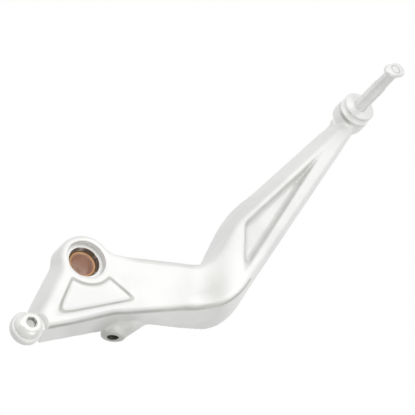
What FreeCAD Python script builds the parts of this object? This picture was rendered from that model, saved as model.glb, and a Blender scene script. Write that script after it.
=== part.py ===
import FreeCAD, Part
import math
import os

from FreeCAD import Vector

# Rear brake foot lever in millimetres. It is drawn with Y zero in the plane of the outer face of the
# pivot boss, and each finished piece is then moved so that the origin is the middle of the bush bore.
# Y runs inboard along the pivot axis, X and Z lie in the plane of the lever.

# Pivot boss, with a washer seat, a seal seat and a bore for a plain bush
PIVOT_R = 12.0
PIVOT_DRAFT = 5.0
WASHER_SEAT_R = 9.0
WASHER_SEAT_DEPTH = 3.0
SEAL_SEAT_R = 7.0
SEAL_SEAT_DEPTH = 1.8
HUB_R = 9.4
HUB_END = 20.5
HUB_CHAMFER = 1.0
BUSH_OUTER_R = 6.5
BUSH_WALL = 1.5
BUSH_LENGTH = 15.0
BUSH_CHAMFER = 0.5
PIVOT_HOLE_CHAMFER = 0.5

# Eye at the lower rear end, spot-faced for a domed screw and relieved at the back for a rod end
EYE_X = -22.3
EYE_Z = -38.4
EYE_R = 7.1
EYE_FACE = 2.0
EYE_DEPTH = 6.8
EYE_CHAMFER = 0.4
EYE_BACK_CHAMFER = 1.4
SPOT_FACE_R = 7.3
ROD_END_R = 7.5
ROD_END_EXIT = 15.0
ROD_END_ANGLE = 235.0
SCREW_HEAD_R = 5.7
SCREW_HEAD_RISE = 4.2
SCREW_HEAD_EDGE = 0.5
SCREW_DOME_STEPS = 4
SCREW_FLAT_R = 3.15
SCREW_SOCKET = 4.0
SCREW_SOCKET_TURN = 15.0
SCREW_SOCKET_DEPTH = 2.2
SCREW_SHANK_R = 3.0
SCREW_END_CHAMFER = 0.6
SCREW_END_GAP = 0.4

# Boss at the tip that carries the foot peg
TIP_X = 141.0
TIP_Z = 129.7
TIP_R = 9.0
TIP_DRAFT = 2.0
TIP_FRONT = -12.7
TIP_BACK = 0.0
TIP_CHAMFER = 1.7
TIP_BACK_CHAMFER = 2.4
PEG_SHANK_R = 4.0

# Foot peg: a turned pin with a flange, a stepped stem and an oval head
FLANGE_R = 8.75
FLANGE_THICKNESS = 1.8
FLANGE_EDGE = 0.35
RELIEF_R = 7.3
RELIEF_HEIGHT = 1.0
STEM_R = 3.55
STEM_LENGTH = 18.5
NECK_R = 3.1
NECK_LENGTH = 11.9
HEAD_LENGTH = 13.0
HEAD_WIDTH = 8.0
HEAD_THICKNESS = 2.0
HEAD_CHAMFER = 0.7
HEAD_TURN = 33.0

# Side walls of the casting, each by its distance from a boss centre, its direction and its draft
ARM_TOP_RISE = 3.9
ARM_TOP_ANGLE = 190.1
ARM_TOP_DRAFT = 6.0
REAR_WALL_REACH = 7.1
REAR_WALL_ANGLE = 251.1
REAR_WALL_DRAFT = 19.5
BELLY_DROP = 28.7
BELLY_ANGLE = 25.0
BELLY_DRAFT = 6.0
KEEL_X = 47.4
KEEL_Z = -12.9
KEEL_ANGLE = 16.5
KEEL_TWIST = 0.53
KEEL_DRAFT = 3.8
FRONT_WALL_REACH = 6.6
FRONT_WALL_ANGLE = 60.2
UPPER_WALL_REACH = 2.46
UPPER_WALL_ANGLE = 232.1
UPPER_WALL_DRAFT = 24.4
CROOK_REACH = -50.8
CROOK_ANGLE = 249.0
CROOK_DRAFT = 7.0
FRONT_WALL_DRAFT = 15.5

# Corners between the side walls
PIVOT_TOP_BLEND = 8.0
PIVOT_REAR_BLEND = 12.0
BELLY_BEND = 45.0
HEEL_ROUND = 28.0
SHOULDER_ROUND = 28.0
SHOULDER_SPREAD = 5.0
CROOK_ROUND = 11.0
CROOK_TAPER = 0.35
FACE_ROUND = 1.4

# Crank of the arm towards the outboard side, seen from above
CRANK = 8.0
CRANK_FROM = 50.0
CRANK_TO = 76.0
ARM_DEPTH = 11.3
ELBOW_DEPTH = 14.2
ELBOW_FROM = 32.0
ELBOW_TO = 52.0
BACK_CRANK_FROM = 62.0
BACK_CRANK_TO = 90.0
UPPER_DEPTH = 5.6

# Shallow recess beside the pivot and long pocket in the upper arm
RECESS_DEPTH = 0.9
RECESS_ARC_R = 12.4
RECESS_ARC_DRAFT = 48.0
RECESS_ROUNDS = (1.6, 1.6, 1.6)
RECESS_LEFT_REACH = 3.1
RECESS_LEFT_ANGLE = 253.7
RECESS_LEFT_DRAFT = 67.0
RECESS_BASE_DROP = 23.7
RECESS_BASE_ANGLE = 26.0
RECESS_BASE_DRAFT = 72.0
RECESS_TOP_DROP = 0.7
RECESS_TOP_ANGLE = 148.5
RECESS_TOP_DRAFT = 38.0
POCKET_DEPTH = 4.2
POCKET_DRAFT = 26.0
POCKET_ROUNDS = (2.0, 1.6, 0.6)
POCKET_LEFT_REACH = -72.6
POCKET_LEFT_ANGLE = 267.5
POCKET_RIGHT_REACH = -2.4
POCKET_RIGHT_ANGLE = 61.4
POCKET_UPPER_REACH = -3.7
POCKET_UPPER_ANGLE = 232.0
FLOOR_ROUND_SHARE = 0.6

# Tapped lug under the arm, leaning inboard, with a web that runs back up to the arm
LUG_X = 19.75
LUG_Y = 14.1
LUG_Z = -26.6
LUG_R = 5.4
LUG_WAIST_R = 6.3
LUG_ROOT_R = 2.5
LUG_LEAN = 6.0
LUG_WAIST = 9.0
LUG_ROOT = 15.0
LUG_CHAMFER = 0.5
LUG_HOLE_R = 2.5
LUG_HOLE_DEPTH = 9.0
WEB_END_X = 39.0
WEB_END_Y = 9.0
WEB_END_Z = -10.6
WEB_END_R = 2.5
WEB_INSET = 0.6

# How far a cut runs past the metal, half the size of the block that the arm is trimmed from, and
# how near two places count as the same
OVERRUN = 1.0
REACH = 220.0
NEAR = 0.01

# S-curves of both sides of the arm, each from one X to another X and down to a new depth
OUTER_BENDS = [(CRANK_FROM, CRANK_TO, -CRANK)]
INNER_BENDS = [(ELBOW_FROM, ELBOW_TO, ELBOW_DEPTH), (BACK_CRANK_FROM, BACK_CRANK_TO, UPPER_DEPTH)]


def unit(angle):
    """Unit vector at an angle in degrees in the plane of the lever."""
    return Vector(math.cos(math.radians(angle)), 0, math.sin(math.radians(angle)))


def outward(angle):
    """Outward normal of a wall that is followed counter-clockwise."""
    return unit(angle - 90)


def at_depth(point, depth):
    return Vector(point.x, depth, point.z)


def meet(point_a, angle_a, point_b, angle_b):
    """Crossing point of two lines in the plane of the lever."""
    normal = outward(angle_b)
    run = (point_b - point_a).dot(normal) / unit(angle_a).dot(normal)
    return point_a + unit(angle_a) * run


def wall(centre, reach, angle, draft, depth):
    """Wall line at a distance from a centre, moved outward by its draft at this depth."""
    shift = reach + depth * math.tan(math.radians(draft))
    return centre + outward(angle) * shift, angle


def corner(first, second, radius):
    """Arc between two walls: its centre and its ends, convex for a left turn."""
    turn = 1 if math.sin(math.radians(second[1] - first[1])) > 0 else -1
    shift = -turn * radius
    centre = meet(first[0] + outward(first[1]) * shift, first[1],
                  second[0] + outward(second[1]) * shift, second[1])
    start = centre - outward(first[1]) * shift
    end = centre - outward(second[1]) * shift
    return centre, start, end, turn


def blend(line, centre, boss_r, radius, before):
    """Concave arc between a wall and a boss circle, on the start or the end side of the wall."""
    origin = line[0] + outward(line[1]) * radius
    along = unit(line[1])
    foot = (centre - origin).dot(along)
    height = (centre - origin - along * foot).Length
    half = math.sqrt((boss_r + radius) ** 2 - height ** 2)
    run = foot + half if before else foot - half
    middle = origin + along * run
    on_line = middle - outward(line[1]) * radius
    toward = (middle - centre).normalize()
    on_boss = centre + toward * boss_r
    if before:
        return middle, on_boss, on_line, -1
    return middle, on_line, on_boss, -1


def arc(centre, start, end, turn):
    """Arc that turns counter-clockwise (1) or clockwise (-1) from start to end."""
    first = math.atan2(start.z - centre.z, start.x - centre.x)
    last = math.atan2(end.z - centre.z, end.x - centre.x)
    while turn * (last - first) <= 0:
        last += turn * 2 * math.pi
    radius = (start - centre).Length
    middle = centre + unit(math.degrees((first + last) / 2)) * radius
    return Part.Arc(start, middle, end).toShape()


def loop(pieces, depth):
    """Closed wire from arcs (centre, start, end, turn) joined by straight edges, sharp where turn is 0."""
    edges = []
    for index, (centre, start, end, turn) in enumerate(pieces):
        following = pieces[(index + 1) % len(pieces)][1]
        if turn:
            edges.append(arc(at_depth(centre, depth), at_depth(start, depth), at_depth(end, depth), turn))
        if (following - end).Length > NEAR / 1000:
            edges.append(Part.makeLine(at_depth(end, depth), at_depth(following, depth)))
    return Part.Wire(edges)


def outline(depth):
    """Outline of the casting at one depth along the pivot axis."""
    pivot = Vector(0, 0, 0)
    tip = Vector(TIP_X, 0, TIP_Z)
    pivot_r = PIVOT_R + depth * math.tan(math.radians(PIVOT_DRAFT))
    belly = wall(pivot, BELLY_DROP, BELLY_ANGLE, BELLY_DRAFT, depth)
    keel = wall(Vector(KEEL_X, 0, KEEL_Z), 0, KEEL_ANGLE - KEEL_TWIST * depth, KEEL_DRAFT, depth)
    front = wall(tip, FRONT_WALL_REACH, FRONT_WALL_ANGLE, FRONT_WALL_DRAFT, depth)
    upper = wall(tip, UPPER_WALL_REACH, UPPER_WALL_ANGLE, UPPER_WALL_DRAFT, depth)
    tip_r = ((front[0] - tip).dot(outward(front[1])) + (upper[0] - tip).dot(outward(upper[1]))) / 2
    crook = wall(pivot, CROOK_REACH, CROOK_ANGLE, CROOK_DRAFT, depth)
    top = wall(pivot, ARM_TOP_RISE, ARM_TOP_ANGLE, ARM_TOP_DRAFT, depth)
    rear = wall(pivot, REAR_WALL_REACH, REAR_WALL_ANGLE, REAR_WALL_DRAFT, depth)

    eye_end = meet(rear[0], rear[1], belly[0], belly[1])
    top_to_pivot = blend(top, pivot, pivot_r, PIVOT_TOP_BLEND, False)
    pivot_to_rear = blend(rear, pivot, pivot_r, PIVOT_REAR_BLEND, True)
    pieces = [
        (eye_end, eye_end, eye_end, 0),
        corner(belly, keel, BELLY_BEND),
        corner(keel, front, HEEL_ROUND),
        corner(front, upper, tip_r),
        corner(upper, crook, SHOULDER_ROUND + SHOULDER_SPREAD * (depth + CRANK)),
        corner(crook, top, CROOK_ROUND - depth * CROOK_TAPER),
        top_to_pivot,
        (pivot, top_to_pivot[2], pivot_to_rear[1], 1),
        pivot_to_rear,
    ]
    return loop(pieces, depth)


def sway(x_from, y_from, x_to, y_to):
    """S-curve of two equal arcs, level at both ends."""
    run = x_to - x_from
    rise = y_to - y_from
    radius = (run ** 2 + rise ** 2) / (4 * abs(rise))
    half = math.atan2(abs(rise), run)
    side = 1 if rise > 0 else -1
    middle = Vector((x_from + x_to) / 2, (y_from + y_to) / 2, 0)
    run_in = radius * math.sin(half)
    drop = side * radius * (1 - math.cos(half))
    first_through = Vector(x_from + run_in, y_from + drop, 0)
    second_through = Vector(x_to - run_in, y_to - drop, 0)
    start = Vector(x_from, y_from, 0)
    end = Vector(x_to, y_to, 0)
    return [Part.Arc(start, first_through, middle).toShape(),
            Part.Arc(middle, second_through, end).toShape()]


def path(bends, y_start):
    """Open path along X with level stretches between S-curves (x_from, x_to, y_to)."""
    edges = []
    here = Vector(-REACH, y_start, 0)
    for x_from, x_to, y_to in bends:
        start = Vector(x_from, here.y, 0)
        edges.append(Part.makeLine(here, start))
        edges.extend(sway(x_from, here.y, x_to, y_to))
        here = Vector(x_to, y_to, 0)
    edges.append(Part.makeLine(here, Vector(REACH, here.y, 0)))
    return edges


def crank_band():
    """Everything between the outer and the inner side of the cranked arm."""
    front = path(OUTER_BENDS, 0)
    back = path(INNER_BENDS, ARM_DEPTH)
    near_end = Part.makeLine(Vector(-REACH, 0, 0), Vector(-REACH, ARM_DEPTH, 0))
    far_end = Part.makeLine(Vector(REACH, -CRANK, 0), Vector(REACH, UPPER_DEPTH, 0))
    wire = Part.Wire(Part.__sortEdges__(front + back + [near_end, far_end]))
    face = Part.Face(wire)
    face.translate(Vector(0, 0, -REACH))
    return face.extrude(Vector(0, 0, 2 * REACH))


def edges_where(shape, test):
    return [edge for edge in shape.Edges if test(edge)]


def depth_at(x, bends, y_start):
    """Depth of one side of the arm at one X, from the same S-curves as its path."""
    here = y_start
    for x_from, x_to, y_to in bends:
        if x <= x_from:
            return here
        if x < x_to:
            run = x_to - x_from
            rise = y_to - here
            radius = (run ** 2 + rise ** 2) / (4 * abs(rise))
            side = 1 if rise > 0 else -1
            if x < x_from + run / 2:
                return here + side * (radius - math.sqrt(radius ** 2 - (x - x_from) ** 2))
            return y_to - side * (radius - math.sqrt(radius ** 2 - (x_to - x) ** 2))
        here = y_to
    return here


def on_side(edge, bends, y_start):
    """True for an edge that runs along the outer or the inner side of the arm."""
    if edge.BoundBox.XLength < NEAR:
        return False
    first, last = edge.ParameterRange
    points = [edge.valueAt(first + (last - first) * share) for share in (0.05, 0.5, 0.95)]
    return all(abs(point.y - depth_at(point.x, bends, y_start)) < 2 * NEAR for point in points)


def cylinder(radius, y_from, y_to, x=0.0, z=0.0):
    return Part.makeCylinder(radius, y_to - y_from, Vector(x, y_from, z), Vector(0, 1, 0))


def revolve(profile, x=0.0, z=0.0):
    """Solid turned about an axis along Y from (radius, y) points."""
    points = [Vector(x + radius, y, z) for radius, y in profile]
    wire = Part.makePolygon(points + [points[0]])
    return Part.Face(wire).revolve(Vector(x, 0, z), Vector(0, 1, 0), 360)


def recess_tool(lines, drafts, depth, face_y, rounds):
    """Tapered plug with rounded corners that cuts a recess with drafted walls."""
    wires = []
    for level, share in ((-OVERRUN, 1.0), (depth, FLOOR_ROUND_SHARE)):
        moved = []
        for (point, angle), draft in zip(lines, drafts):
            inset = level * math.tan(math.radians(draft))
            moved.append((point - outward(angle) * inset, angle))
        corners = [corner(moved[index - 1], moved[index], size * share) for index, size in enumerate(rounds)]
        wires.append(loop(corners, face_y + level))
    return Part.makeLoft(wires, True, True)


def make_recess():
    """Triangular recess whose upper side follows the pivot boss."""
    pivot = Vector(0, 0, 0)
    walls = [
        wall(pivot, RECESS_LEFT_REACH, RECESS_LEFT_ANGLE, 0, 0),
        wall(pivot, RECESS_BASE_DROP, RECESS_BASE_ANGLE, 0, 0),
        wall(pivot, RECESS_TOP_DROP, RECESS_TOP_ANGLE, 0, 0),
    ]
    drafts = (RECESS_LEFT_DRAFT, RECESS_BASE_DRAFT, RECESS_TOP_DRAFT)
    plug = recess_tool(walls, drafts, RECESS_DEPTH, 0, RECESS_ROUNDS)
    slope = math.tan(math.radians(RECESS_ARC_DRAFT))
    guard = Part.makeCone(RECESS_ARC_R - OVERRUN * slope, RECESS_ARC_R + RECESS_DEPTH * slope,
                          RECESS_DEPTH + OVERRUN, Vector(0, -OVERRUN, 0), Vector(0, 1, 0))
    return plug.cut(guard)


def make_pocket():
    """Long three-cornered pocket in the face of the upper arm."""
    pivot = Vector(0, 0, 0)
    tip = Vector(TIP_X, 0, TIP_Z)
    walls = [
        wall(pivot, POCKET_LEFT_REACH, POCKET_LEFT_ANGLE, 0, 0),
        wall(tip, POCKET_RIGHT_REACH, POCKET_RIGHT_ANGLE, 0, 0),
        wall(tip, POCKET_UPPER_REACH, POCKET_UPPER_ANGLE, 0, 0),
    ]
    return recess_tool(walls, [POCKET_DRAFT] * len(walls), POCKET_DEPTH, -CRANK, POCKET_ROUNDS)


def lug_axis():
    """Direction in which the lug points: down and a little inboard."""
    lean = math.radians(LUG_LEAN)
    return Vector(0, math.sin(lean), -math.cos(lean))


def make_lug():
    """Round lug that runs up into the back of the arm, and a tapered web that leads forward into it."""
    down = lug_axis()
    face_centre = Vector(LUG_X, LUG_Y, LUG_Z)
    rim = face_centre - down * LUG_CHAMFER
    waist = face_centre - down * LUG_WAIST
    bevel = Part.makeCone(LUG_R, LUG_R - LUG_CHAMFER, LUG_CHAMFER, rim, down)
    post = Part.makeCone(LUG_WAIST_R, LUG_R, LUG_WAIST - LUG_CHAMFER, waist, down)
    root = Part.makeCone(LUG_ROOT_R, LUG_WAIST_R, LUG_ROOT - LUG_WAIST, face_centre - down * LUG_ROOT, down)
    near_circle = Part.Wire(Part.makeCircle(LUG_R - WEB_INSET, rim, down))
    far_circle = Part.Wire(Part.makeCircle(WEB_END_R, Vector(WEB_END_X, WEB_END_Y, WEB_END_Z), down))
    web = Part.makeLoft([near_circle, far_circle], True, True)
    return [bevel, post, root, web]


def make_eye():
    """Eye at the rear end: a short boss with chamfered rims."""
    front = EYE_FACE + EYE_CHAMFER
    back = EYE_DEPTH - EYE_BACK_CHAMFER
    return revolve([
        (0, EYE_FACE),
        (EYE_R - EYE_CHAMFER, EYE_FACE),
        (EYE_R, front),
        (EYE_R, back),
        (EYE_R - EYE_BACK_CHAMFER, EYE_DEPTH),
        (0, EYE_DEPTH),
    ], EYE_X, EYE_Z)


def make_tip_boss():
    """Drafted boss at the tip with chamfered ends."""
    back = TIP_BACK - TIP_BACK_CHAMFER
    slope = math.tan(math.radians(TIP_DRAFT))
    return revolve([
        (0, TIP_FRONT),
        (TIP_R - TIP_CHAMFER, TIP_FRONT),
        (TIP_R + TIP_CHAMFER * slope, TIP_FRONT + TIP_CHAMFER),
        (TIP_R + (back - TIP_FRONT) * slope, back),
        (TIP_R + (back - TIP_FRONT) * slope - TIP_BACK_CHAMFER, TIP_BACK),
        (0, TIP_BACK),
    ], TIP_X, TIP_Z)


def make_hub():
    """Inboard end of the pivot boss, turned true for the bracket."""
    return revolve([
        (0, WASHER_SEAT_DEPTH + SEAL_SEAT_DEPTH),
        (HUB_R, WASHER_SEAT_DEPTH + SEAL_SEAT_DEPTH),
        (HUB_R, HUB_END - HUB_CHAMFER),
        (HUB_R - HUB_CHAMFER, HUB_END),
        (0, HUB_END),
    ])


def pivot_hole():
    """Washer seat, seal seat and bush bore of the pivot."""
    seal_floor = WASHER_SEAT_DEPTH + SEAL_SEAT_DEPTH
    bevel = PIVOT_HOLE_CHAMFER
    return revolve([
        (0, -OVERRUN),
        (WASHER_SEAT_R + bevel + OVERRUN, -OVERRUN),
        (WASHER_SEAT_R, bevel),
        (WASHER_SEAT_R, WASHER_SEAT_DEPTH),
        (SEAL_SEAT_R, WASHER_SEAT_DEPTH),
        (SEAL_SEAT_R, seal_floor),
        (BUSH_OUTER_R, seal_floor),
        (BUSH_OUTER_R, HUB_END - bevel),
        (BUSH_OUTER_R + bevel + OVERRUN, HUB_END + OVERRUN),
        (0, HUB_END + OVERRUN),
    ])


def rod_end_room():
    """Room behind the eye for a rod end: a round seat that runs out past the end of the arm."""
    seat = cylinder(ROD_END_R, EYE_DEPTH, HUB_END, EYE_X, EYE_Z)
    centre = Vector(EYE_X, EYE_DEPTH, EYE_Z)
    side = outward(ROD_END_ANGLE) * ROD_END_R
    exit_run = unit(ROD_END_ANGLE) * ROD_END_EXIT
    corners = [centre + side, centre + side + exit_run, centre - side + exit_run, centre - side]
    slot = Part.Face(Part.makePolygon(corners + [corners[0]])).extrude(Vector(0, HUB_END - EYE_DEPTH, 0))
    return [seat, slot]


def make_arm():
    """The casting with its bosses, recesses, seats and holes."""
    blank = Part.makeLoft([outline(-CRANK - OVERRUN), outline(ELBOW_DEPTH + OVERRUN)], True, True)
    body = blank.common(crank_band()).removeSplitter()
    face_edges = edges_where(body, lambda edge: on_side(edge, OUTER_BENDS, 0))
    body = body.makeFillet(FACE_ROUND, face_edges)
    spot_face = cylinder(SPOT_FACE_R, -OVERRUN, EYE_FACE, EYE_X, EYE_Z)
    body = body.cut([spot_face] + rod_end_room())
    body = body.fuse([make_eye(), make_tip_boss(), make_hub()] + make_lug()).removeSplitter()
    eye_hole = cylinder(SCREW_SHANK_R, 0, EYE_DEPTH + OVERRUN, EYE_X, EYE_Z)
    peg_hole = cylinder(PEG_SHANK_R, TIP_FRONT - OVERRUN, UPPER_DEPTH + OVERRUN, TIP_X, TIP_Z)
    down = lug_axis()
    face_centre = Vector(LUG_X, LUG_Y, LUG_Z)
    hole_mouth = face_centre + down * OVERRUN
    lug_hole = Part.makeCylinder(LUG_HOLE_R, LUG_HOLE_DEPTH + OVERRUN, hole_mouth, down * -1)
    return body.cut([make_recess(), make_pocket(), pivot_hole(), eye_hole, peg_hole, lug_hole])


def make_bush(y_from):
    """Plain bush with chamfered ends."""
    inner_r = BUSH_OUTER_R - BUSH_WALL
    bevel = BUSH_CHAMFER
    y_to = y_from + BUSH_LENGTH
    return revolve([
        (inner_r + bevel, y_from),
        (BUSH_OUTER_R - bevel, y_from),
        (BUSH_OUTER_R, y_from + bevel),
        (BUSH_OUTER_R, y_to - bevel),
        (BUSH_OUTER_R - bevel, y_to),
        (inner_r + bevel, y_to),
        (inner_r, y_to - bevel),
        (inner_r, y_from + bevel),
    ])


def make_screw():
    """Domed screw with a hexagon socket, seated on the eye, its dome turned in a few steps."""
    top = EYE_FACE - SCREW_HEAD_RISE
    edge_y = EYE_FACE - SCREW_HEAD_EDGE
    shank_end = EYE_DEPTH - SCREW_END_GAP
    profile = [(0, top)]
    for step in range(SCREW_DOME_STEPS + 1):
        turn = math.radians(90 * step / SCREW_DOME_STEPS)
        radius = SCREW_FLAT_R + (SCREW_HEAD_R - SCREW_FLAT_R) * math.sin(turn)
        profile.append((radius, edge_y - (edge_y - top) * math.cos(turn)))
    profile += [
        (SCREW_HEAD_R, EYE_FACE),
        (SCREW_SHANK_R, EYE_FACE),
        (SCREW_SHANK_R, shank_end - SCREW_END_CHAMFER),
        (SCREW_SHANK_R - SCREW_END_CHAMFER, shank_end),
        (0, shank_end),
    ]
    screw = revolve(profile, EYE_X, EYE_Z)
    corner_r = SCREW_SOCKET / math.sqrt(3)
    above = Vector(EYE_X, top - OVERRUN, EYE_Z)
    hexagon = [above + unit(60 * step + SCREW_SOCKET_TURN) * corner_r for step in range(7)]
    socket = Part.Face(Part.makePolygon(hexagon)).extrude(Vector(0, OVERRUN + SCREW_SOCKET_DEPTH, 0))
    return screw.cut(socket)


def make_peg():
    """Foot peg turned in one piece, with its oval head and the shank through the tip boss."""
    flange_y = TIP_FRONT - RELIEF_HEIGHT
    flange_top = flange_y - FLANGE_THICKNESS
    stem_top = flange_top - STEM_LENGTH
    neck_top = stem_top - NECK_LENGTH
    edge = FLANGE_EDGE
    turned = revolve([
        (0, neck_top),
        (NECK_R, neck_top),
        (NECK_R, stem_top),
        (STEM_R, stem_top),
        (STEM_R, flange_top),
        (FLANGE_R - edge, flange_top),
        (FLANGE_R, flange_top + edge),
        (FLANGE_R, flange_y - edge),
        (FLANGE_R - edge, flange_y),
        (RELIEF_R, flange_y),
        (RELIEF_R, TIP_FRONT),
        (PEG_SHANK_R, TIP_FRONT),
        (PEG_SHANK_R, UPPER_DEPTH),
        (0, UPPER_DEPTH),
    ], TIP_X, TIP_Z)
    return turned.fuse(make_peg_head(neck_top)).removeSplitter()


def make_peg_head(y):
    """Oval head plate with chamfered rims."""
    half = (HEAD_LENGTH - HEAD_WIDTH) / 2
    centre = Vector(TIP_X, y, TIP_Z)
    reach = unit(HEAD_TURN)
    across = outward(HEAD_TURN)
    radius = HEAD_WIDTH / 2
    far = centre + reach * half
    near = centre - reach * half
    wire = Part.Wire([
        Part.makeLine(near + across * radius, far + across * radius),
        Part.Arc(far + across * radius, far + reach * radius, far - across * radius).toShape(),
        Part.makeLine(far - across * radius, near - across * radius),
        Part.Arc(near - across * radius, near - reach * radius, near + across * radius).toShape(),
    ])
    plate = Part.Face(wire).extrude(Vector(0, -HEAD_THICKNESS, 0))
    outer_rim = edges_where(plate, lambda edge: edge.BoundBox.YMax < y - HEAD_THICKNESS + NEAR)
    return plate.makeChamfer(HEAD_CHAMFER, outer_rim)


bush_start = WASHER_SEAT_DEPTH + SEAL_SEAT_DEPTH
to_origin = Vector(0, -bush_start - BUSH_LENGTH / 2, 0)
pieces = {
    "lever_arm": make_arm(),
    "pivot_bush": make_bush(bush_start),
    "eye_screw": make_screw(),
    "foot_peg": make_peg(),
}
os.makedirs("parts", exist_ok=True)
for name, shape in pieces.items():
    solid = shape.Solids[0]
    solid.translate(to_origin)
    solid.exportStep("parts/" + name + ".step")
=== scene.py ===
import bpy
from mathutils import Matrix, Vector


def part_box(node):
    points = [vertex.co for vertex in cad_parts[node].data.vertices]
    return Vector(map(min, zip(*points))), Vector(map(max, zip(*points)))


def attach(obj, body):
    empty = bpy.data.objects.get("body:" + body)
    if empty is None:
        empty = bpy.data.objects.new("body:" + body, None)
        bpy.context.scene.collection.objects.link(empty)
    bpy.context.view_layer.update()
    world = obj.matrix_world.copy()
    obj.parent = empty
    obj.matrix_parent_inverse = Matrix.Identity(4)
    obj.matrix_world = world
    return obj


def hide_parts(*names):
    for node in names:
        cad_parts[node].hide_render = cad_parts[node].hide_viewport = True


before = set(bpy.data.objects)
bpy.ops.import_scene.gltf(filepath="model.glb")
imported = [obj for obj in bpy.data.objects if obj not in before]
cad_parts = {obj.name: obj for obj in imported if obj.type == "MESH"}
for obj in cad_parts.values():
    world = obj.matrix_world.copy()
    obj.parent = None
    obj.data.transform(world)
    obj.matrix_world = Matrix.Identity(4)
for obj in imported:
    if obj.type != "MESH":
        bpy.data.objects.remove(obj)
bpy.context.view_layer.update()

import math
from functools import cached_property

import bmesh
import bpy
from mathutils import Matrix, Vector

MM = 0.001

# Camera of the photograph, below and to the left of the lever's outer face. Its place is in metres,
# its lens and its sensor are in millimetres
CAMERA_PLACE = Vector((-0.1523, -0.4131, -0.2786))
CAMERA_RIGHT = Vector((0.885, -0.465, 0))
CAMERA_UP = Vector((-0.2711, -0.516, 0.8124))
CAMERA_LENS = 103.06
CAMERA_SENSOR = 36.0
CAMERA_NEAR = 0.01

# Studio, in metres and watts: the strength of the soft light, half of the floor's side and its level,
# and each lamp's place, target, width and power
SOFT_LIGHT = 0.62
FLOOR_HALF = 6.0
FLOOR_LEVEL = -0.75
LEVER_MIDDLE = (0.06, 0.0, 0.04)
UPPER_ARM_MIDDLE = (0.1, 0.0, 0.09)
LAMPS = [
    ("key", (0.2, -1.15, 0.32), UPPER_ARM_MIDDLE, 1.2, 4.4),
    ("fill", (-0.95, -0.85, 0.1), LEVER_MIDDLE, 0.9, 1.4),
    ("low", (0.35, -0.25, -0.65), LEVER_MIDDLE, 0.7, 1.2),
    ("rear", (0.2, 1.2, 0.6), LEVER_MIDDLE, 1.0, 3.0),
]

# Sizes of the lever in millimetres, as in the solid model. A spot on the face is its X and Z, and
# depths count from the outer face of the pivot boss, which lies this far along Y from the origin
OUTER_FACE = -12.3

# The pivot boss with its two seats, the bore of its bush and its hub at the back
PIVOT = (0.0, 0.0)
BOSS_R = 12.2
WASHER_SEAT_R = 9.0
WASHER_SEAT_DEPTH = 3.0
SEAL_SEAT_R = 7.0
SEAL_SEAT_FLOOR = 4.8
BUSH_BORE_R = 6.5
BUSH_INNER_R = 5.0
HUB_END = 20.5

# The eye with the spot face and the hole of its screw
EYE = (-22.3, -38.4)
EYE_FACE = 2.0
EYE_BACK = 6.8
SPOT_FACE_R = 7.3
SCREW_SHANK_R = 3.0

# The boss at the tip, which holds the peg
TIP = (141.0, 129.7)
TIP_R = 9.0
TIP_FRONT = -12.7
TIP_CHAMFER = 1.7
TIP_END = 5.6
PEG_SHANK_R = 4.0

# The lug underneath: the middle of its face, its lean inboard in degrees, and its hole
LUG = (19.75, -26.6)
LUG_DEPTH = 14.1
LUG_LEAN = 6.0
LUG_HOLE_R = 2.5
LUG_HOLE_DEPTH = 9.0
LUG_COUNTERSINK = 0.4

# The upper arm steps outwards by the crank between two places along X, and the arm is this deep
CRANK = 8.0
CRANK_RUN = (50, 76)
ARM_DEPTH = 11.3

# The middle of the painted shade at the elbow, the middle of the painted shadow on the arm's side of the
# tip boss, and the heights between which the upper arm is painted paler, as painted light
ELBOW_SHADE_MIDDLE = (60.0, 0.0)
TIP_SHADOW_MIDDLE = (TIP[0] - 8, TIP[1] - 9)
UPPER_ARM_LIGHT_RISE = (30, 110)

# Lines on the face, each with the spot that it is measured from, its distance from that spot and the
# angle that it runs at: the two edges that are much rounder than the rest, the edge of the belly, and
# the walls of the recess and of the pocket. The recess also ends at an arc round the pivot
REAR_EDGE = (PIVOT, 7.6, 251.1)
TOP_EDGE = (PIVOT, 3.9, 190.1)
BELLY_EDGE = (PIVOT, 28.7, 25.0)
RECESS_WALLS = [(PIVOT, 3.1, 253.7), (PIVOT, 23.7, 26.0), (PIVOT, 0.7, 148.5)]
RECESS_ARC_R = 12.4
POCKET_WALLS = [(PIVOT, -72.6, 267.5), (TIP, -2.4, 61.4), (TIP, -3.7, 232.0)]

# The line on which the boss's round edge meets the straight rear edge: its Z at the pivot and its slope
REAR_EDGE_STARTS = (3.95, -0.34)

# The casting is remeshed with voxels of this size, and then smoothed this many times
VOXEL = 0.56
SKIN_PASSES = 2
CAST_PASSES = 7
ROUND_PASSES = 40
CRANK_PASSES = 50

# Where the smoothing of the cast edges starts: this far outside the walls of the recess and of the
# pocket, and anywhere past these places along Y
DETAIL_CLEAR = (1.2, 3.2)
BACK_STARTS = (-1, 2)

# The share by which depth counts at the rear edge, and the depth of the middle of the top edge. Then
# where the two edges' extra roundness fades out: with the distance from the edge, with the X and Z of
# the rear edge, at both ends of the top edge along X, and towards the washer seat
REAR_DEPTH_SHARE = 0.8
TOP_EDGE_DEPTH = 1.0
ROUND_FADE = (3, 6)
REAR_FADE_X = (-4, 3)
REAR_FADE_Z = (-35, -31)
TOP_STARTS = (16, 22)
TOP_ENDS = (50, 56)
SEAT_CLEAR = (WASHER_SEAT_R + 0.4, WASHER_SEAT_R + 1.4)

# The hollow where the arm runs into the tip boss: its radius, the distance from it at which the
# smoothing fades out, and the depths between which it starts
TIP_ROOT_R = TIP_R + 1.5
TIP_ROOT_FADE = (2.5, 5)
TIP_ROOT_STARTS = (TIP_FRONT + 2.5, TIP_FRONT + 4.5)

# The face at the crank, smoothed between these places along X and down to these depths
CRANK_FACE_STARTS = (42, 50)
CRANK_FACE_ENDS = (80, 90)
CRANK_FACE_DEPTH = (0.5, 2)

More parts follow.
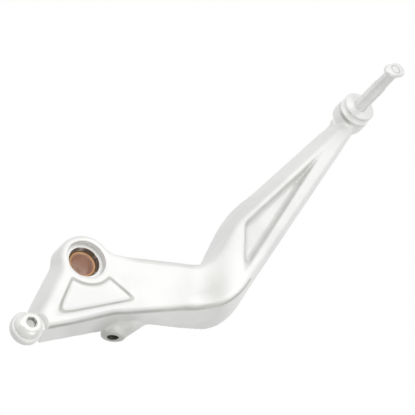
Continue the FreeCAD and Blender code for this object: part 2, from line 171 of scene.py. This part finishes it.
# How far the belly leans in at the face near the eye and past the lug, where along X the lean starts,
# grows and ends, and how far outside the belly's edge it starts and is whole
BELLY_LEAN = (1.5, 3.0)
LEAN_STARTS = (-22, -12)
LEAN_GROWS = (-6, 22)
LEAN_ENDS = (48, 68)
LEAN_WALL = (-5.5, -0.5)

# Plugs that fill the seats and holes before the remesh, in stretches with a radius, a start and an end.
# They reach into the metal round the holes. The lug's heights count outwards from its face
PIVOT_PLUG = [(10.6, 0.6, 8.0), (8.6, 8.0, 19.6)]
EYE_PLUG = [(5.0, EYE_FACE + 0.4, EYE_BACK - 0.4)]
TIP_PLUG = [(TIP_R, TIP_FRONT - 1.2, TIP_FRONT + 2), (6.0, TIP_FRONT + 2, TIP_END - 0.4)]
LUG_PLUG = [(3.6, -LUG_HOLE_DEPTH - 1, -0.3)]

# How far a cutter runs past the metal, with more in front of the pivot and of the tip, and how much
# wider than the tip boss its cutter is
RUN_OUT = 3.0
PIVOT_RUN_OUT = 5.0
TIP_RUN_OUT = 4.0
TIP_CUT_ROOM = 0.5

# The broken rims of the casting's seats, of the bush, of the screw and of the peg
SEAT_RIM = 0.35
BUSH_RIM = 0.12
SCREW_RIM = 0.18
PEG_RIM = 0.15

# The rounded rim of the spot face: how much wider than the spot face, and the depth
SPOT_FACE_RIM = [(1.5, -RUN_OUT), (1.2, 0.2), (0.5, 0.9), (0.1, EYE_FACE - 0.2), (-0.1, EYE_FACE)]

# Where faces meet at more than these angles, in degrees, the shading breaks or a rim is broken
CRISP_ANGLE = 32
BEVEL_ANGLE = 30

# Shares of the axes that a distance counts: across the face, or all of them
ACROSS_FACE = (1, 0, 1)
ALL_AXES = (1, 1, 1)


def on_face(spot, depth=0.0):
    """Place in millimetres of a spot on the face, at a depth."""
    return spot[0], OUTER_FACE + depth, spot[1]


def place_camera():
    right = CAMERA_RIGHT.normalized()
    back = right.cross(CAMERA_UP).normalized()
    up = back.cross(right)
    camera_data = bpy.data.cameras.new("camera")
    camera_data.lens = CAMERA_LENS
    camera_data.sensor_width = CAMERA_SENSOR
    camera_data.sensor_fit = "HORIZONTAL"
    camera_data.clip_start = CAMERA_NEAR
    camera = bpy.data.objects.new("camera", camera_data)
    turn = Matrix((right, up, back)).transposed()
    camera.matrix_world = Matrix.Translation(CAMERA_PLACE) @ turn.to_4x4()
    bpy.context.scene.collection.objects.link(camera)
    bpy.context.scene.camera = camera


def place_lamp(name, place, target, width, power):
    lamp = bpy.data.lights.new(name, "AREA")
    lamp.shape = "DISK"
    lamp.size = width
    lamp.energy = power
    light = bpy.data.objects.new(name, lamp)
    aim = (Vector(target) - Vector(place)).to_track_quat("-Z", "Y")
    light.matrix_world = Matrix.Translation(place) @ aim.to_matrix().to_4x4()
    bpy.context.scene.collection.objects.link(light)


def new_object(name, mesh):
    thing = bpy.data.objects.new(name, mesh)
    bpy.context.scene.collection.objects.link(thing)
    return thing


def merged_copy(name, node):
    """Copy of a CAD node's mesh with its loose triangles joined."""
    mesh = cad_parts[node].data.copy()
    mesh.materials.clear()
    work = bmesh.new()
    work.from_mesh(mesh)
    bmesh.ops.remove_doubles(work, verts=work.verts, dist=1e-6)
    work.to_mesh(mesh)
    work.free()
    if "custom_normal" in mesh.attributes:
        mesh.attributes.remove(mesh.attributes["custom_normal"])
    return new_object(name, mesh)


def apply_modifiers(thing):
    bpy.context.view_layer.update()
    evaluated = thing.evaluated_get(bpy.context.evaluated_depsgraph_get())
    mesh = bpy.data.meshes.new_from_object(evaluated)
    thing.modifiers.clear()
    old = thing.data
    thing.data = mesh
    bpy.data.meshes.remove(old)


def lathe_mesh(name, profile, spot, axis=(0, 1, 0), depth=0.0, steps=128):
    """Closed mesh turned from (radius, height) points round an axis through a spot on the face."""
    work = bmesh.new()
    rings = []
    for radius, height in profile:
        if radius == 0:
            rings.append([work.verts.new((0, 0, height))] * steps)
            continue
        angles = [2 * math.pi * step / steps for step in range(steps)]
        rings.append([work.verts.new((radius * math.cos(angle), radius * math.sin(angle), height))
                      for angle in angles])
    for first, second in zip(rings, rings[1:]):
        for step in range(steps):
            after = (step + 1) % steps
            corners = [first[step], first[after], second[after], second[step]]
            unique = [corner for index, corner in enumerate(corners) if corner not in corners[:index]]
            if len(unique) > 2:
                work.faces.new(unique)
    bmesh.ops.recalc_face_normals(work, faces=work.faces)
    turn = Vector((0, 0, 1)).rotation_difference(Vector(axis)).to_matrix()
    for vert in work.verts:
        vert.co = (turn @ vert.co + Vector(on_face(spot, depth))) * MM
    mesh = bpy.data.meshes.new(name)
    work.to_mesh(mesh)
    work.free()
    return mesh


def stepped(stretches):
    """Profile of a bar turned from plain stretches, each with its radius, start and end."""
    profile = [(0, stretches[0][1])]
    for radius, start, end in stretches:
        profile += [(radius, start), (radius, end)]
    return profile + [(0, stretches[-1][2])]


def join_into(target, meshes):
    work = bmesh.new()
    work.from_mesh(target.data)
    for mesh in meshes:
        work.from_mesh(mesh)
        bpy.data.meshes.remove(mesh)
    work.to_mesh(target.data)
    work.free()


def cut(target, mesh):
    cutter = new_object("cutter", mesh)
    modifier = target.modifiers.new("cut", "BOOLEAN")
    modifier.operation = "DIFFERENCE"
    modifier.solver = "MANIFOLD"
    modifier.object = cutter
    apply_modifiers(target)
    bpy.data.objects.remove(cutter)
    bpy.data.meshes.remove(mesh)


def shade_crisp(thing):
    thing.data.shade_smooth()
    thing.data.set_sharp_from_angle(angle=math.radians(CRISP_ANGLE))


def outward_of(line):
    """X and Z of the direction in which a line on the face has its outside."""
    turn = math.radians(line[2] - 90)
    return math.cos(turn), math.sin(turn)


def outside(place, line):
    """How far a place lies outside a line on the face, in millimetres."""
    spot, reach, _ = line
    across, up = outward_of(line)
    return (place.x - spot[0]) * across + (place.z - spot[1]) * up - reach


def ramp(value, low, high):
    """0 below low and 1 above high, with a smooth ramp."""
    part = min(max((value - low) / (high - low), 0), 1)
    return part * part * (3 - 2 * part)


def fade(value, low, high):
    """1 below low and 0 above high, with a smooth ramp."""
    return 1 - ramp(value, low, high)


def depth_of(place):
    return place.y - OUTER_FACE


def everywhere(place):
    return 1


def away_from_details(place):
    """0 at the recess and the pocket, 1 away from them."""
    gap = min(max(outside(place, line) for line in walls) for walls in (RECESS_WALLS, POCKET_WALLS))
    return max(ramp(gap, *DETAIL_CLEAR), ramp(place.y, *BACK_STARTS))


def at_round_edges(place):
    """1 at the edges that are much rounder than the rest, 0 away from them."""
    depth = depth_of(place)
    radius = math.hypot(place.x, place.z)
    level, slope = REAR_EDGE_STARTS
    at_boss = place.z > level + slope * place.x
    rear_gap = radius - BOSS_R if at_boss else outside(place, REAR_EDGE)
    rear = fade(math.hypot(rear_gap, depth * REAR_DEPTH_SHARE), *ROUND_FADE)
    rear *= fade(place.x, *REAR_FADE_X) * ramp(place.z, *REAR_FADE_Z)
    top = fade(math.hypot(outside(place, TOP_EDGE), depth - TOP_EDGE_DEPTH), *ROUND_FADE)
    top *= ramp(place.x, *TOP_STARTS) * fade(place.x, *TOP_ENDS)
    return max(rear, top) * ramp(radius, *SEAT_CLEAR)


def under_tip(place):
    """1 where the arm runs into the tip boss, 0 away from there."""
    gap = abs(math.hypot(place.x - TIP[0], place.z - TIP[1]) - TIP_ROOT_R)
    return fade(gap, *TIP_ROOT_FADE) * ramp(depth_of(place), *TIP_ROOT_STARTS)


def at_crank(place):
    """1 on the face where the arm steps outwards, 0 away from there."""
    along = ramp(place.x, *CRANK_FACE_STARTS) * fade(place.x, *CRANK_FACE_ENDS)
    return along * fade(depth_of(place), *CRANK_FACE_DEPTH)


def lean_belly(thing):
    """Lean the belly inwards towards the face, which ends higher there in the photograph."""
    across, up = outward_of(BELLY_EDGE)
    outward = Vector((across, 0, up))
    near_lean, far_lean = BELLY_LEAN
    for vertex in thing.data.vertices:
        place = vertex.co / MM
        depth = depth_of(place) + CRANK * ramp(place.x, *CRANK_RUN)
        share = 1 - min(max(depth / ARM_DEPTH, 0), 1)
        share *= ramp(outside(place, BELLY_EDGE), *LEAN_WALL)
        share *= ramp(place.x, *LEAN_STARTS) * fade(place.x, *LEAN_ENDS)
        lean = near_lean + (far_lean - near_lean) * ramp(place.x, *LEAN_GROWS)
        vertex.co -= outward * (share * lean * MM)


def soften(thing, passes, share, in_depth_only=False):
    """Smooth the mesh, each part of it by the share that its place in millimetres gives."""
    group = thing.vertex_groups.new(name="share")
    for vertex in thing.data.vertices:
        group.add([vertex.index], share(vertex.co / MM), "REPLACE")
    relax = thing.modifiers.new("soften", "SMOOTH")
    relax.factor = 0.5
    relax.iterations = passes
    relax.vertex_group = "share"
    relax.use_x = relax.use_z = not in_depth_only
    apply_modifiers(thing)
    thing.vertex_groups.clear()


def lug_direction():
    """The direction in which the lug's face looks."""
    lean = math.radians(LUG_LEAN)
    return Vector((0, math.sin(lean), -math.cos(lean)))


def hole_plugs():
    """Bars that fill the seats and holes, so that the skin round them can be smoothed."""
    return [
        lathe_mesh("pivot plug", stepped(PIVOT_PLUG), PIVOT),
        lathe_mesh("eye plug", stepped(EYE_PLUG), EYE),
        lathe_mesh("tip plug", stepped(TIP_PLUG), TIP),
        lathe_mesh("lug plug", stepped(LUG_PLUG), LUG, lug_direction(), LUG_DEPTH),
    ]


def cut_pivot(casting):
    """Cut the two seats and the bore, and break the rims at both ends."""
    cut(casting, lathe_mesh("pivot cut", [
        (0, -PIVOT_RUN_OUT),
        (WASHER_SEAT_R + SEAT_RIM + PIVOT_RUN_OUT, -PIVOT_RUN_OUT),
        (WASHER_SEAT_R, SEAT_RIM),
        (WASHER_SEAT_R, WASHER_SEAT_DEPTH),
        (SEAL_SEAT_R, WASHER_SEAT_DEPTH),
        (SEAL_SEAT_R, SEAL_SEAT_FLOOR),
        (BUSH_BORE_R, SEAL_SEAT_FLOOR),
        (BUSH_BORE_R, HUB_END - SEAT_RIM),
        (BUSH_BORE_R + SEAT_RIM + RUN_OUT, HUB_END + RUN_OUT),
        (0, HUB_END + RUN_OUT),
    ], PIVOT))


def cut_eye(casting):
    """Cut the spot face with its rounded rim, and the screw's hole."""
    rim = [(SPOT_FACE_R + wider, depth) for wider, depth in SPOT_FACE_RIM]
    cut(casting, lathe_mesh("eye cut", [
        (0, -RUN_OUT),
        *rim,
        (SCREW_SHANK_R, EYE_FACE),
        (SCREW_SHANK_R, EYE_BACK + RUN_OUT),
        (0, EYE_BACK + RUN_OUT),
    ], EYE))


def cut_tip(casting):
    """Take off the plug's end above the boss, chamfer the boss's rim and bore it for the peg."""
    cut(casting, lathe_mesh("tip cut", [
        (0, TIP_FRONT - TIP_RUN_OUT),
        (TIP_R + TIP_CUT_ROOM, TIP_FRONT - TIP_RUN_OUT),
        (TIP_R + TIP_CUT_ROOM, TIP_FRONT + TIP_CHAMFER + TIP_CUT_ROOM),
        (TIP_R - TIP_CHAMFER, TIP_FRONT),
        (PEG_SHANK_R, TIP_FRONT),
        (PEG_SHANK_R, TIP_END + RUN_OUT),
        (0, TIP_END + RUN_OUT),
    ], TIP))


def cut_lug(casting):
    """Bore the lug and countersink its hole."""
    cut(casting, lathe_mesh("lug cut", [
        (0, -LUG_HOLE_DEPTH),
        (LUG_HOLE_R, -LUG_HOLE_DEPTH),
        (LUG_HOLE_R, -LUG_COUNTERSINK),
        (LUG_HOLE_R + LUG_COUNTERSINK + RUN_OUT, RUN_OUT),
        (0, RUN_OUT),
    ], LUG, lug_direction(), LUG_DEPTH, steps=64))


def make_casting():
    """The lever arm with cast edges, and with its seats and holes cut afresh."""
    casting = merged_copy("casting", "lever_arm")
    join_into(casting, hole_plugs())
    remesh = casting.modifiers.new("grain", "REMESH")
    remesh.mode = "VOXEL"
    remesh.voxel_size = VOXEL * MM
    apply_modifiers(casting)
    lean_belly(casting)
    soften(casting, SKIN_PASSES, everywhere)
    soften(casting, CAST_PASSES, away_from_details)
    soften(casting, ROUND_PASSES, at_round_edges)
    soften(casting, ROUND_PASSES, under_tip)
    soften(casting, CRANK_PASSES, at_crank, in_depth_only=True)
    for cut_feature in (cut_pivot, cut_eye, cut_tip, cut_lug):
        cut_feature(casting)
    shade_crisp(casting)
    return casting


def make_dressed(name, node, bevel):
    """Copy of a turned piece with its sharp rims broken."""
    piece = merged_copy(name, node)
    modifier = piece.modifiers.new("broken rims", "BEVEL")
    modifier.width = bevel * MM
    modifier.segments = 2
    modifier.limit_method = "ANGLE"
    modifier.angle_limit = math.radians(BEVEL_ANGLE)
    apply_modifiers(piece)
    shade_crisp(piece)
    return piece


class Value:
    """A socket that carries a number. Arithmetic on it adds Math nodes."""

    def __init__(self, wiring, socket):
        self.wiring = wiring
        self.socket = socket

    def math(self, operation, *terms):
        node = self.wiring.node("ShaderNodeMath", {"operation": operation}, dict(enumerate(terms)))
        return Value(self.wiring, node.outputs[0])

    def __add__(self, other):
        return self.math("ADD", self, other)

    __radd__ = __add__

    def __mul__(self, other):
        return self.math("MULTIPLY", self, other)

    __rmul__ = __mul__

    def __sub__(self, other):
        return self.math("SUBTRACT", self, other)

    def __rsub__(self, other):
        return self.math("SUBTRACT", other, self)

    def __abs__(self):
        return self.math("ABSOLUTE", self)

    def or_more(self, other):
        """The larger of two values."""
        return self.math("MAXIMUM", self, other)

    def joined(self, other, round_r):
        """The larger of two distances, rounded where they are alike."""
        return self.math("SMOOTH_MAX", self, other, round_r)

    def above(self, low, high):
        """0 below low and 1 above high, with a smooth ramp."""
        node = self.wiring.node("ShaderNodeMapRange", {"interpolation_type": "SMOOTHSTEP"},
                                {"Value": self, "From Min": low, "From Max": high})
        return Value(self.wiring, node.outputs["Result"])

    def below(self, low, high):
        """1 below low and 0 above high, with a smooth ramp."""
        return 1 - self.above(low, high)

    def stroke(self, middle, half_width):
        """1 in the middle of a line and 0 at its sides."""
        return abs(self - middle).below(half_width * 0.25, half_width)


class Wiring:
    """The node tree of a material or of the world."""

    def __init__(self, owner):
        owner.use_nodes = True
        self.tree = owner.node_tree
        self.tree.nodes.clear()

    def node(self, kind, settings, inputs):
        node = self.tree.nodes.new(kind)
        for key, value in settings.items():
            setattr(node, key, value)
        for key, value in inputs.items():
            self.feed(node.inputs[key], value)
        return node

    def feed(self, socket, value):
        if isinstance(value, Value):
            value = value.socket
        if isinstance(value, bpy.types.NodeSocket):
            self.tree.links.new(value, socket)
        elif isinstance(value, tuple) and len(value) == 3 and socket.type == "RGBA":
            socket.default_value = (*value, 1)
        else:
            socket.default_value = value


class Paint(Wiring):
    """A procedural material around one Principled shader. It takes lengths in millimetres."""

    def __init__(self, name, **constants):
        self.material = bpy.data.materials.new(name)
        super().__init__(self.material)
        self.shader = self.node("ShaderNodeBsdfPrincipled", {}, constants)
        self.node("ShaderNodeOutputMaterial", {}, {"Surface": self.shader.outputs["BSDF"]})
        coordinates = self.node("ShaderNodeTexCoord", {}, {})
        self.place = coordinates.outputs["Object"]

    def noise(self, scale, detail=3.0, rough=0.5, place=None):
        node = self.node("ShaderNodeTexNoise", {}, {"Vector": place or self.place, "Scale": scale,
                                                    "Detail": detail, "Roughness": rough})
        return Value(self, node.outputs["Fac"])

    def moved(self, centre=(0, 0, 0), squeeze=(1, 1, 1)):
        """Coordinates that count from a centre and are squeezed along the axes."""
        node = self.node("ShaderNodeMapping", {"vector_type": "TEXTURE"},
                         {"Vector": self.place, "Location": tuple(length * MM for length in centre),
                          "Scale": tuple(1 / factor for factor in squeeze)})
        return node.outputs["Vector"]

    def vector(self, operation, first, second=(0, 0, 0), result="Vector"):
        node = self.node("ShaderNodeVectorMath", {"operation": operation}, {0: first, 1: second})
        return node.outputs[result]

    def distance(self, place, axes):
        """Distance from a place, with each axis counted by its share."""
        across = self.vector("SUBTRACT", self.place, tuple(length * MM for length in place))
        counted = self.vector("MULTIPLY", across, axes)
        return Value(self, self.vector("LENGTH", counted, result="Value")) * (1 / MM)

    def outside(self, line):
        """How far a place lies outside a line on the face."""
        spot, reach, _ = line
        across, up = outward_of(line)
        height = self.vector("DOT_PRODUCT", self.place, (across / MM, 0.0, up / MM), "Value")
        return Value(self, height) - (reach + spot[0] * across + spot[1] * up)

    @cached_property
    def parts(self):
        return self.node("ShaderNodeSeparateXYZ", {}, {"Vector": self.place}).outputs

    def along(self, axis):
        return Value(self, self.parts[axis]) * (1 / MM)

    @cached_property
    def depth(self):
        return self.along("Y") - OUTER_FACE

    def in_corners(self, reach):
        """1 where the surface meets another within the reach, 0 in the open."""
        node = self.node("ShaderNodeAmbientOcclusion", {"samples": 8}, {"Distance": reach * MM})
        return (1 - Value(self, node.outputs["AO"])).above(0.25, 0.85)

    def mix(self, mask, low, high):
        node = self.node("ShaderNodeMix", {"data_type": "RGBA"}, {"Factor": mask})
        low_socket, high_socket = [socket for socket in node.inputs if socket.type == "RGBA"]
        self.feed(low_socket, low)
        self.feed(high_socket, high)
        return next(socket for socket in node.outputs if socket.type == "RGBA")

    def layered(self, colour, layers):
        """A colour with layers over it, each with its mask, its strength and its own colour."""
        for mask, strength, tint in layers:
            colour = self.mix(mask * strength, colour, tint)
        return colour

    def bump(self, height, depth, strength):
        node = self.node("ShaderNodeBump", {}, {"Height": height, "Distance": depth * MM,
                                                "Strength": strength})
        return node.outputs["Normal"]

    def finish(self, colour, rough, normal):
        self.feed(self.shader.inputs["Base Color"], colour)
        self.feed(self.shader.inputs["Roughness"], rough)
        self.feed(self.shader.inputs["Normal"], normal)
        return self.material


def recess_painted_shade(paint):
    """Painted shade at the foot of the recess's walls, which lies this far inside their edges."""
    left_inset, base_inset = 0.75, 1.3
    left, base, top = (paint.outside(line) for line in RECESS_WALLS)
    arc = RECESS_ARC_R - paint.distance(on_face(PIVOT), ACROSS_FACE)
    lower_corner = (left + left_inset).joined(base + base_inset, round_r=8.0)
    edge = lower_corner.joined(top, round_r=4.0).joined(arc, round_r=2.5)
    return edge.stroke(middle=0, half_width=0.85) * paint.depth.below(3, 5)


def pocket_painted_shade(paint):
    """Painted shade at the foot of the pocket's walls, which lies this far inside their edges."""
    inset = 0.4
    base, upper, lower = (paint.outside(line) + inset for line in POCKET_WALLS)
    edge = base.joined(upper, round_r=4.0).joined(lower, round_r=4.0)
    return edge.stroke(middle=0, half_width=1.3) * paint.depth.below(0, 2)


def belly_painted_shade(paint):
    """Painted shade just under the face's edge along the belly, which follows the crank and ends at the
    eye.
    """
    face_depth = paint.depth + paint.along("X").above(*CRANK_RUN) * CRANK
    on_belly = paint.outside(BELLY_EDGE).above(-4.6, -3.6)
    past_eye = paint.distance(on_face(EYE), ALL_AXES).above(8.2, 9.4)
    return face_depth.stroke(middle=1.6, half_width=1.35) * on_belly * past_eye


def top_strip(paint):
    """The strip of shade along the top of the lower arm."""
    on_strip = paint.outside(TOP_EDGE).above(-3.6, -2.4)
    on_arm = paint.along("X").above(16, 26) * paint.along("X").below(50, 58)
    return on_strip * on_arm * paint.depth.below(9, 14)


def elbow_painted_shade(paint):
    """A wide faint patch of painted shade on the face at the elbow, longer upwards than across."""
    across_shade = (1, 0, 0.55)
    gap = paint.distance(on_face(ELBOW_SHADE_MIDDLE), across_shade)
    return gap.below(1, 9) * paint.depth.below(0, 3)


def corner_painted_shade(paint):
    """Painted shade in the casting's corners, weaker in the spot face round the screw."""
    near_screw = paint.distance(on_face(EYE), ALL_AXES).below(8.5, 10.5)
    return paint.in_corners(2.6) * (1 - 0.65 * near_screw)


def tip_painted_shadow(paint):
    """Painted shadow under the tip boss's rim, most of all on the arm's side."""
    gap = paint.distance(on_face(TIP), ACROSS_FACE)
    under_rim = (paint.depth - TIP_FRONT).stroke(middle=3.0, half_width=1.5)
    round_boss = gap.above(TIP_R - 0.7, TIP_R - 0.2) * gap.below(TIP_R + 1, TIP_R + 3)
    arm_side = paint.distance(on_face(TIP_SHADOW_MIDDLE), ACROSS_FACE).below(2, 9)
    return under_rim * round_boss * (0.15 + 0.65 * arm_side)


def tip_rim_highlight(paint):
    """The chamfer of the tip boss, with a painted highlight."""
    gap = paint.distance(on_face(TIP), ACROSS_FACE)
    inner_r = TIP_R - TIP_CHAMFER
    on_chamfer = (paint.depth - TIP_FRONT).below(TIP_CHAMFER - 0.2, TIP_CHAMFER + 0.2)
    return on_chamfer * gap.above(inner_r - 0.1, inner_r + 0.2) * gap.below(TIP_R, TIP_R + 0.4)


def bore_stain_and_shade(paint):
    """Brown stain and painted shade in the pivot bore round the bush."""
    in_bore = paint.distance(on_face(PIVOT), ACROSS_FACE).below(SEAL_SEAT_R + 0.05, SEAL_SEAT_R + 0.25)
    return in_bore * paint.noise(300).above(0.25, 0.5)


def lug_painted_shade(paint, patchy):
    """Painted shade over the lug, darker round its hole."""
    gap = paint.distance(on_face(LUG, LUG_DEPTH), ALL_AXES)
    return gap.below(7, 17) * patchy * 0.45 + gap.below(3, 6) * 0.2


def lug_hole_shade(paint):
    """Painted shade on the wall of the lug's hole, with lighter specks of dust."""
    mouth = on_face(LUG, LUG_DEPTH)
    across_hole = (1, 0.9, 0)
    in_hole = paint.distance(mouth, across_hole).below(LUG_HOLE_R - 0.05, LUG_HOLE_R + 0.1)
    in_lug = paint.distance(mouth, ALL_AXES).below(LUG_HOLE_DEPTH, LUG_HOLE_DEPTH + 0.6)
    specks = paint.noise(900, detail=2, rough=0.6).above(0.5, 0.62)
    return in_hole * in_lug * (0.95 - 0.3 * specks)


def cast_aluminium():
    paint = Paint("cast_aluminium", Metallic=0.4)
    cloud = paint.noise(38, detail=4)
    grain = paint.noise(1500, detail=2, rough=0.6)
    pits = paint.noise(520, rough=0.6).above(0.62, 0.74)
    patchy = 0.7 + 0.3 * paint.noise(90).above(0.35, 0.6)
    corner_shade_mask = corner_painted_shade(paint)
    base_tone = paint.mix(cloud.above(0.35, 0.65), (0.775, 0.775, 0.77), (0.85, 0.85, 0.835))
    colour = paint.layered(base_tone, [
        # Painted light: the upper arm painted paler towards its top
        (paint.along("Z").above(*UPPER_ARM_LIGHT_RISE), 0.5, (0.90, 0.90, 0.885)),
        # Painted shade at the foot of the recess's walls
        (recess_painted_shade(paint) * patchy, 0.64, (0.31, 0.30, 0.265)),
        # Painted shade under the belly's edge
        (belly_painted_shade(paint) * patchy, 0.62, (0.31, 0.30, 0.265)),
        (top_strip(paint), 0.22, (0.36, 0.37, 0.37)),
        # Painted shade at the foot of the pocket's walls
        (pocket_painted_shade(paint) * patchy, 0.3, (0.36, 0.36, 0.33)),
        # Painted shade at the elbow
        (elbow_painted_shade(paint), 0.22, (0.50, 0.50, 0.44)),
        # Painted shade in the corners
        (corner_shade_mask, 0.6, (0.26, 0.26, 0.23)),
        # Painted shadow under the tip boss's rim
        (tip_painted_shadow(paint) * patchy, 1.0, (0.30, 0.28, 0.24)),
        # Painted highlight on the tip boss's chamfer
        (tip_rim_highlight(paint), 0.9, (0.98, 0.98, 0.96)),
        # Brown stain with painted shade in the pivot bore
        (bore_stain_and_shade(paint), 0.85, (0.13, 0.07, 0.035)),
        # Painted shade over the lug
        (lug_painted_shade(paint, patchy), 1.0, (0.30, 0.30, 0.27)),
        # Painted shade in the lug's hole
        (lug_hole_shade(paint), 1.0, (0.10, 0.094, 0.065)),
    ])
    rough = 0.42 + 0.16 * cloud + 0.1 * corner_shade_mask
    height = grain * 0.6 - pits * 0.5 + paint.noise(230) * 0.9
    return paint.finish(colour, rough, paint.bump(height, depth=0.05, strength=0.5))


def bush_bronze():
    paint = Paint("bush_bronze", Metallic=0.45)
    cloud = paint.noise(420, detail=4)
    stain = paint.noise(150).above(0.5, 0.75)
    end_ring = paint.distance(on_face(PIVOT), ACROSS_FACE).above(BUSH_INNER_R + 0.1, BUSH_INNER_R + 0.3)
    base_tone = paint.mix(cloud, (0.66, 0.44, 0.34), (0.76, 0.54, 0.44))
    colour = paint.layered(base_tone, [
        (stain, 0.5, (0.36, 0.20, 0.12)),
        (end_ring, 1.0, (0.52, 0.29, 0.14)),
    ])
    tool_marks = paint.noise(1.0, detail=2, place=paint.moved(squeeze=(120, 5200, 120)))
    rough = 0.34 + 0.2 * cloud
    return paint.finish(colour, rough, paint.bump(tool_marks, depth=0.02, strength=0.5))


def turned_steel(name, end, pale, dark, corner_shade, corner_shade_colour, dark_rings, rings_depth):
    """Turned steel with dark rings painted on its end face, each with its radius, half width and strength,
    and with painted shade in its corners.
    """
    paint = Paint(name, Metallic=0.5)
    cloud = paint.noise(160)
    corner_shade_mask = paint.in_corners(1.4)
    on_end = (paint.along("Y") - end[1]).below(rings_depth, rings_depth + 0.3)
    from_axis = paint.distance(end, ACROSS_FACE)
    layers = [(from_axis.stroke(radius, half_width) * on_end, strength, (0.25, 0.25, 0.24))
              for radius, half_width, strength in dark_rings]
    # Painted shade in the corners
    layers.append((corner_shade_mask, corner_shade, corner_shade_colour))
    colour = paint.layered(paint.mix(cloud.above(0.3, 0.7), pale, dark), layers)
    rings = paint.node("ShaderNodeTexWave", {"wave_type": "RINGS", "rings_direction": "Y"},
                       {"Vector": paint.moved(end), "Scale": 900.0, "Distortion": 1.5, "Detail": 2.0})
    height = Value(paint, rings.outputs["Fac"]) + cloud * 0.5
    rough = 0.3 + 0.12 * cloud + 0.2 * corner_shade_mask
    return paint.finish(colour, rough, paint.bump(height, depth=0.012, strength=0.4))


def outer_end(spot, node):
    """Middle of a turned piece's outer end, in millimetres."""
    return spot[0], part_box(node)[0].y / MM, spot[1]


def screw_steel():
    # Its dark rings are painted shade in the hex socket and round its mouth
    return turned_steel("zinc_plated_steel", outer_end(EYE, "eye_screw"),
                        pale=(0.93, 0.93, 0.91), dark=(0.82, 0.82, 0.79),
                        corner_shade=0.75, corner_shade_colour=(0.2, 0.19, 0.16),
                        dark_rings=[(2.4, 0.6, 0.5), (0, 3.2, 0.6)], rings_depth=3.0)


def peg_steel():
    return turned_steel("foot_peg_steel", outer_end(TIP, "foot_peg"),
                        pale=(0.85, 0.85, 0.835), dark=(0.78, 0.78, 0.765),
                        corner_shade=0.6, corner_shade_colour=(0.36, 0.36, 0.28),
                        dark_rings=[(2.4, 0.6, 0.4)], rings_depth=0.3)


def make_world():
    """Even soft light on the object, in front of a white backdrop that reflections show too."""
    world = bpy.data.worlds.new("studio")
    bpy.context.scene.world = world
    wiring = Wiring(world)
    paths = wiring.node("ShaderNodeLightPath", {}, {})
    camera, glossy, transmission = (Value(wiring, paths.outputs[ray]) for ray in (
        "Is Camera Ray", "Is Glossy Ray", "Is Transmission Ray"))
    seen = camera.or_more(glossy).or_more(transmission)
    strength = seen + (1 - seen) * SOFT_LIGHT
    sky = wiring.node("ShaderNodeBackground", {}, {"Color": (1, 1, 1), "Strength": strength})
    wiring.node("ShaderNodeOutputWorld", {}, {"Surface": sky.outputs["Background"]})


def make_floor():
    mesh = bpy.data.meshes.new("floor")
    turns = [(-1, -1), (1, -1), (1, 1), (-1, 1)]
    corners = [(x * FLOOR_HALF, y * FLOOR_HALF, FLOOR_LEVEL) for x, y in turns]
    mesh.from_pydata(corners, [], [(0, 1, 2, 3)])
    paint = Paint("floor")
    cloud = paint.noise(2.0, detail=2)
    colour = paint.mix(cloud, (0.86, 0.86, 0.86), (0.89, 0.89, 0.89))
    mesh.materials.append(paint.finish(colour, 0.8, paint.bump(cloud, depth=0.1, strength=0.1)))
    new_object("floor", mesh)


bpy.context.scene.view_settings.view_transform = "Standard"
place_camera()
make_world()
make_floor()
for lamp in LAMPS:
    place_lamp(*lamp)

# Each piece with the node that it replaces, its material slot and its material
dressed = [
    (make_casting(), "lever_arm", "cast_aluminium", cast_aluminium()),
    (make_dressed("sleeve", "pivot_bush", BUSH_RIM), "pivot_bush", "bush_bronze", bush_bronze()),
    (make_dressed("socket_screw", "eye_screw", SCREW_RIM), "eye_screw", "zinc_plated_steel", screw_steel()),
    (make_dressed("turned_peg", "foot_peg", PEG_RIM), "foot_peg", "foot_peg_steel", peg_steel()),
]
for piece, node, slot, material in dressed:
    piece.data.materials.clear()
    piece.data.materials.append(material)
    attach(piece, "root")
    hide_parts(node)
